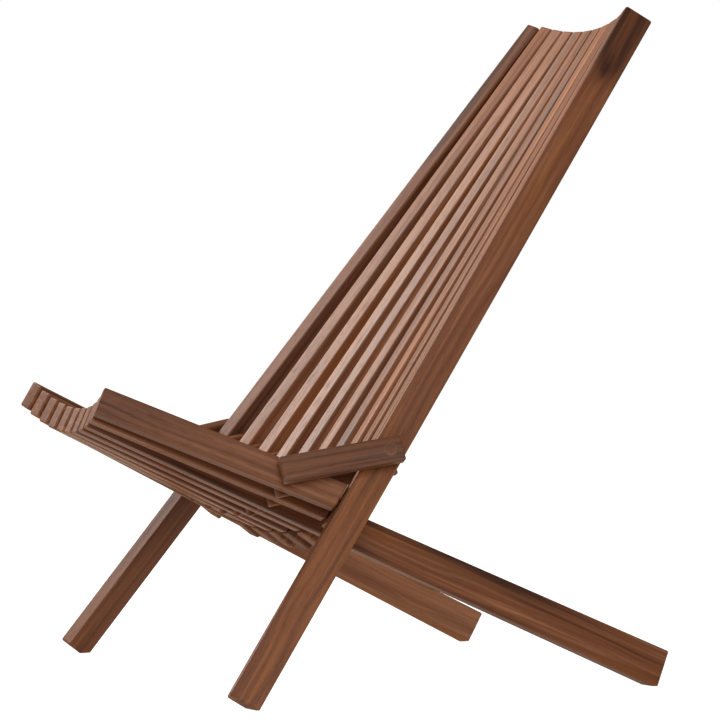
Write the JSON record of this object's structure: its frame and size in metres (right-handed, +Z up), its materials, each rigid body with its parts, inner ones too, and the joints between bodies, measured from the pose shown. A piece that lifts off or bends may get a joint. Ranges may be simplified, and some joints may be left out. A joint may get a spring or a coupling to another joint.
{
  "type": "folding deck chair",
  "caption": "Low folding deck chair of wooden sticks threaded on wires, with a dished seat and back whose side boards run down as legs.",
  "frame": {"origin": "on the floor, under the middle of the overall box", "axes": "+X to the sitter's left, +Y to the rear, +Z up"},
  "size_m": [0.5582, 0.784, 0.8771],
  "materials": {
    "side_board_wood": "oiled, satin",
    "rear_leg_wood": "oiled, satin",
    "back_slat_wood": "oiled, satin",
    "seat_slat_wood": "oiled, satin",
    "link_wood": "oiled, satin",
    "plug_wood": "oiled, satin",
    "wire_steel": "satin"
  },
  "bodies": {
    "back_frame": {"left_side_board": "side_board_wood", "back_slat_02": "back_slat_wood", "back_slat_03": "back_slat_wood", "back_slat_04": "back_slat_wood", "back_slat_05": "back_slat_wood", "back_slat_06": "back_slat_wood", "back_slat_07": "back_slat_wood", "back_slat_08": "back_slat_wood", "back_slat_09": "back_slat_wood", "back_slat_10": "back_slat_wood", "right_side_board": "side_board_wood", "back_pivot_wire": "wire_steel", "back_top_wire": "wire_steel"},
    "link_01_body": {"link_01": "link_wood", "left_link_plug": "plug_wood"},
    "link_02_body": {"link_02": "link_wood"},
    "link_03_body": {"link_03": "link_wood"},
    "link_04_body": {"link_04": "link_wood"},
    "link_05_body": {"link_05": "link_wood"},
    "link_06_body": {"link_06": "link_wood"},
    "link_07_body": {"link_07": "link_wood"},
    "link_08_body": {"link_08": "link_wood"},
    "link_09_body": {"link_09": "link_wood"},
    "link_10_body": {"link_10": "link_wood"},
    "link_11_body": {"link_11": "link_wood"},
    "link_12_body": {"link_12": "link_wood", "right_link_plug": "plug_wood"},
    "seat_pin_01_body": {"seat_pivot_pin_01": "wire_steel"},
    "seat_01_body": {"seat_slat_01": "seat_slat_wood", "seat_front_pin_01": "wire_steel"},
    "seat_pin_02_body": {"seat_pivot_pin_02": "wire_steel"},
    "seat_02_body": {"seat_slat_02": "seat_slat_wood", "seat_front_pin_02": "wire_steel"},
    "seat_pin_03_body": {"seat_pivot_pin_03": "wire_steel"},
    "left_rear_leg_body": {"left_rear_leg": "rear_leg_wood", "seat_front_pin_03": "wire_steel"},
    "seat_pin_04_body": {"seat_pivot_pin_04": "wire_steel"},
    "seat_04_body": {"seat_slat_04": "seat_slat_wood", "seat_front_pin_04": "wire_steel"},
    "seat_pin_05_body": {"seat_pivot_pin_05": "wire_steel"},
    "seat_05_body": {"seat_slat_05": "seat_slat_wood", "seat_front_pin_05": "wire_steel"},
    "seat_pin_06_body": {"seat_pivot_pin_06": "wire_steel"},
    "seat_06_body": {"seat_slat_06": "seat_slat_wood", "seat_front_pin_06": "wire_steel"},
    "seat_pin_07_body": {"seat_pivot_pin_07": "wire_steel"},
    "seat_07_body": {"seat_slat_07": "seat_slat_wood", "seat_front_pin_07": "wire_steel"},
    "seat_pin_08_body": {"seat_pivot_pin_08": "wire_steel"},
    "seat_08_body": {"seat_slat_08": "seat_slat_wood", "seat_front_pin_08": "wire_steel"},
    "seat_pin_09_body": {"seat_pivot_pin_09": "wire_steel"},
    "right_rear_leg_body": {"right_rear_leg": "rear_leg_wood", "seat_front_pin_09": "wire_steel"},
    "seat_pin_10_body": {"seat_pivot_pin_10": "wire_steel"},
    "seat_10_body": {"seat_slat_10": "seat_slat_wood", "seat_front_pin_10": "wire_steel"},
    "seat_pin_11_body": {"seat_pivot_pin_11": "wire_steel"},
    "seat_11_body": {"seat_slat_11": "seat_slat_wood", "seat_front_pin_11": "wire_steel"}
  },
  "joints": [
    {"name": "link_01_pivot", "type": "hinge", "parent": "back_frame", "child": "link_01_body", "pos_m": [0.23611, -0.05808, 0.29658], "axis": [-0.9707, 0.1407, -0.195], "range_deg": [0, 115]},
    {"name": "link_02_pivot", "type": "hinge", "parent": "back_frame", "child": "link_02_body", "pos_m": [0.19529, -0.04794, 0.28253], "axis": [-0.9803, 0.1155, -0.1601], "range_deg": [0, 115]},
    {"name": "link_03_pivot", "type": "hinge", "parent": "back_frame", "child": "link_03_body", "pos_m": [0.15322, -0.03976, 0.27117], "axis": [-0.9881, 0.09, -0.1249], "range_deg": [0, 115]},
    {"name": "link_04_pivot", "type": "hinge", "parent": "back_frame", "child": "link_04_body", "pos_m": [0.11015, -0.03357, 0.2626], "axis": [-0.9939, 0.0644, -0.0894], "range_deg": [0, 115]},
    {"name": "link_05_pivot", "type": "hinge", "parent": "back_frame", "child": "link_05_body", "pos_m": [0.06638, -0.02942, 0.25685], "axis": [-0.9978, 0.0387, -0.0537], "range_deg": [0, 115]},
    {"name": "link_06_pivot", "type": "hinge", "parent": "back_frame", "child": "link_06_body", "pos_m": [0.02217, -0.02734, 0.25396], "axis": [-0.9998, 0.0129, -0.0179], "range_deg": [0, 115]},
    {"name": "link_07_pivot", "type": "hinge", "parent": "back_frame", "child": "link_07_body", "pos_m": [-0.02217, -0.02734, 0.25396], "axis": [-0.9998, -0.0129, 0.0179], "range_deg": [0, 115]},
    {"name": "link_08_pivot", "type": "hinge", "parent": "back_frame", "child": "link_08_body", "pos_m": [-0.06638, -0.02942, 0.25685], "axis": [-0.9978, -0.0387, 0.0537], "range_deg": [0, 115]},
    {"name": "link_09_pivot", "type": "hinge", "parent": "back_frame", "child": "link_09_body", "pos_m": [-0.11015, -0.03357, 0.2626], "axis": [-0.9939, -0.0644, 0.0894], "range_deg": [0, 115]},
    {"name": "link_10_pivot", "type": "hinge", "parent": "back_frame", "child": "link_10_body", "pos_m": [-0.15322, -0.03976, 0.27117], "axis": [-0.9881, -0.09, 0.1249], "range_deg": [0, 115]},
    {"name": "link_11_pivot", "type": "hinge", "parent": "back_frame", "child": "link_11_body", "pos_m": [-0.19529, -0.04794, 0.28253], "axis": [-0.9803, -0.1155, 0.1601], "range_deg": [0, 115]},
    {"name": "link_12_pivot", "type": "hinge", "parent": "back_frame", "child": "link_12_body", "pos_m": [-0.23611, -0.05808, 0.29658], "axis": [-0.9707, -0.1407, 0.195], "range_deg": [0, 115]},
    {"name": "seat_swing_01", "type": "hinge", "parent": "back_frame", "child": "seat_pin_01_body", "pos_m": [0.21588, -0.05277, 0.28922], "axis": [-0.9837, 0.1051, -0.1457], "range_deg": [0, 115]},
    {"name": "seat_pivot_01", "type": "hinge", "parent": "seat_pin_01_body", "child": "seat_01_body", "pos_m": [0.19452, -0.16885, 0.26755], "axis": [-0.9837, 0.1051, -0.1457], "range_deg": [-14.95, 0]},
    {"name": "seat_swing_02", "type": "hinge", "parent": "back_frame", "child": "seat_pin_02_body", "pos_m": [0.1744, -0.0436, 0.27651], "axis": [-0.9896, 0.0842, -0.1168], "range_deg": [0, 115]},
    {"name": "seat_pivot_02", "type": "hinge", "parent": "seat_pin_02_body", "child": "seat_02_body", "pos_m": [0.1581, -0.16012, 0.25287], "axis": [-0.9896, 0.0842, -0.1168], "range_deg": [-14.95, 0]},
    {"name": "fold", "type": "hinge", "parent": "back_frame", "child": "seat_pin_03_body", "pos_m": [0.13179, -0.03641, 0.26654], "axis": [-0.9941, 0.0633, -0.0877], "range_deg": [0, 115]},
    {"name": "seat_pivot_03", "type": "hinge", "parent": "seat_pin_03_body", "child": "left_rear_leg_body", "pos_m": [0.12005, -0.15313, 0.24129], "axis": [-0.9941, 0.0633, -0.0877], "range_deg": [-14.95, 0]},
    {"name": "seat_swing_04", "type": "hinge", "parent": "back_frame", "child": "seat_pin_04_body", "pos_m": [0.08833, -0.03124, 0.25936], "axis": [-0.9974, 0.0422, -0.0586], "range_deg": [0, 115]},
    {"name": "seat_pivot_04", "type": "hinge", "parent": "seat_pin_04_body", "child": "seat_04_body", "pos_m": [0.08074, -0.14805, 0.23294], "axis": [-0.9974, 0.0422, -0.0586], "range_deg": [-14.95, 0]},
    {"name": "seat_swing_05", "type": "hinge", "parent": "back_frame", "child": "seat_pin_05_body", "pos_m": [0.04431, -0.02812, 0.25504], "axis": [-0.9993, 0.0211, -0.0293], "range_deg": [0, 115]},
    {"name": "seat_pivot_05", "type": "hinge", "parent": "seat_pin_05_body", "child": "seat_05_body", "pos_m": [0.04058, -0.14495, 0.22789], "axis": [-0.9993, 0.0211, -0.0293], "range_deg": [-14.95, 0]},
    {"name": "seat_swing_06", "type": "hinge", "parent": "back_frame", "child": "seat_pin_06_body", "pos_m": [0, -0.02708, 0.2536], "axis": [-1, 0, 0], "range_deg": [0, 115]},
    {"name": "seat_pivot_06", "type": "hinge", "parent": "seat_pin_06_body", "child": "seat_06_body", "pos_m": [0, -0.14391, 0.2262], "axis": [-1, 0, 0], "range_deg": [-14.95, 0]},
    {"name": "seat_swing_07", "type": "hinge", "parent": "back_frame", "child": "seat_pin_07_body", "pos_m": [-0.04431, -0.02812, 0.25504], "axis": [-0.9993, -0.0211, 0.0293], "range_deg": [0, 115]},
    {"name": "seat_pivot_07", "type": "hinge", "parent": "seat_pin_07_body", "child": "seat_07_body", "pos_m": [-0.04058, -0.14495, 0.22789], "axis": [-0.9993, -0.0211, 0.0293], "range_deg": [-14.95, 0]},
    {"name": "seat_swing_08", "type": "hinge", "parent": "back_frame", "child": "seat_pin_08_body", "pos_m": [-0.08833, -0.03124, 0.25936], "axis": [-0.9974, -0.0422, 0.0586], "range_deg": [0, 115]},
    {"name": "seat_pivot_08", "type": "hinge", "parent": "seat_pin_08_body", "child": "seat_08_body", "pos_m": [-0.08074, -0.14805, 0.23294], "axis": [-0.9974, -0.0422, 0.0586], "range_deg": [-14.95, 0]},
    {"name": "seat_swing_09", "type": "hinge", "parent": "back_frame", "child": "seat_pin_09_body", "pos_m": [-0.13179, -0.03641, 0.26654], "axis": [-0.9941, -0.0633, 0.0877], "range_deg": [0, 115]},
    {"name": "seat_pivot_09", "type": "hinge", "parent": "seat_pin_09_body", "child": "right_rear_leg_body", "pos_m": [-0.12005, -0.15313, 0.24129], "axis": [-0.9941, -0.0633, 0.0877], "range_deg": [-14.95, 0]},
    {"name": "seat_swing_10", "type": "hinge", "parent": "back_frame", "child": "seat_pin_10_body", "pos_m": [-0.1744, -0.0436, 0.27651], "axis": [-0.9896, -0.0842, 0.1168], "range_deg": [0, 115]},
    {"name": "seat_pivot_10", "type": "hinge", "parent": "seat_pin_10_body", "child": "seat_10_body", "pos_m": [-0.1581, -0.16012, 0.25287], "axis": [-0.9896, -0.0842, 0.1168], "range_deg": [-14.95, 0]},
    {"name": "seat_swing_11", "type": "hinge", "parent": "back_frame", "child": "seat_pin_11_body", "pos_m": [-0.21588, -0.05277, 0.28922], "axis": [-0.9837, -0.1051, 0.1457], "range_deg": [0, 115]},
    {"name": "seat_pivot_11", "type": "hinge", "parent": "seat_pin_11_body", "child": "seat_11_body", "pos_m": [-0.19452, -0.16885, 0.26755], "axis": [-0.9837, -0.1051, 0.1457], "range_deg": [-14.95, 0]}
  ],
  "couplings": [
    {"joint": "link_01_pivot", "follows": "fold", "ratio": 1},
    {"joint": "link_02_pivot", "follows": "fold", "ratio": 1},
    {"joint": "link_03_pivot", "follows": "fold", "ratio": 1},
    {"joint": "link_04_pivot", "follows": "fold", "ratio": 1},
    {"joint": "link_05_pivot", "follows": "fold", "ratio": 1},
    {"joint": "link_06_pivot", "follows": "fold", "ratio": 1},
    {"joint": "link_07_pivot", "follows": "fold", "ratio": 1},
    {"joint": "link_08_pivot", "follows": "fold", "ratio": 1},
    {"joint": "link_09_pivot", "follows": "fold", "ratio": 1},
    {"joint": "link_10_pivot", "follows": "fold", "ratio": 1},
    {"joint": "link_11_pivot", "follows": "fold", "ratio": 1},
    {"joint": "link_12_pivot", "follows": "fold", "ratio": 1},
    {"joint": "seat_swing_01", "follows": "fold", "ratio": 1},
    {"joint": "seat_pivot_01", "follows": "fold", "ratio": -0.13},
    {"joint": "seat_swing_02", "follows": "fold", "ratio": 1},
    {"joint": "seat_pivot_02", "follows": "fold", "ratio": -0.13},
    {"joint": "seat_pivot_03", "follows": "fold", "ratio": -0.13},
    {"joint": "seat_swing_04", "follows": "fold", "ratio": 1},
    {"joint": "seat_pivot_04", "follows": "fold", "ratio": -0.13},
    {"joint": "seat_swing_05", "follows": "fold", "ratio": 1},
    {"joint": "seat_pivot_05", "follows": "fold", "ratio": -0.13},
    {"joint": "seat_swing_06", "follows": "fold", "ratio": 1},
    {"joint": "seat_pivot_06", "follows": "fold", "ratio": -0.13},
    {"joint": "seat_swing_07", "follows": "fold", "ratio": 1},
    {"joint": "seat_pivot_07", "follows": "fold", "ratio": -0.13},
    {"joint": "seat_swing_08", "follows": "fold", "ratio": 1},
    {"joint": "seat_pivot_08", "follows": "fold", "ratio": -0.13},
    {"joint": "seat_swing_09", "follows": "fold", "ratio": 1},
    {"joint": "seat_pivot_09", "follows": "fold", "ratio": -0.13},
    {"joint": "seat_swing_10", "follows": "fold", "ratio": 1},
    {"joint": "seat_pivot_10", "follows": "fold", "ratio": -0.13},
    {"joint": "seat_swing_11", "follows": "fold", "ratio": 1},
    {"joint": "seat_pivot_11", "follows": "fold", "ratio": -0.13}
  ]
}
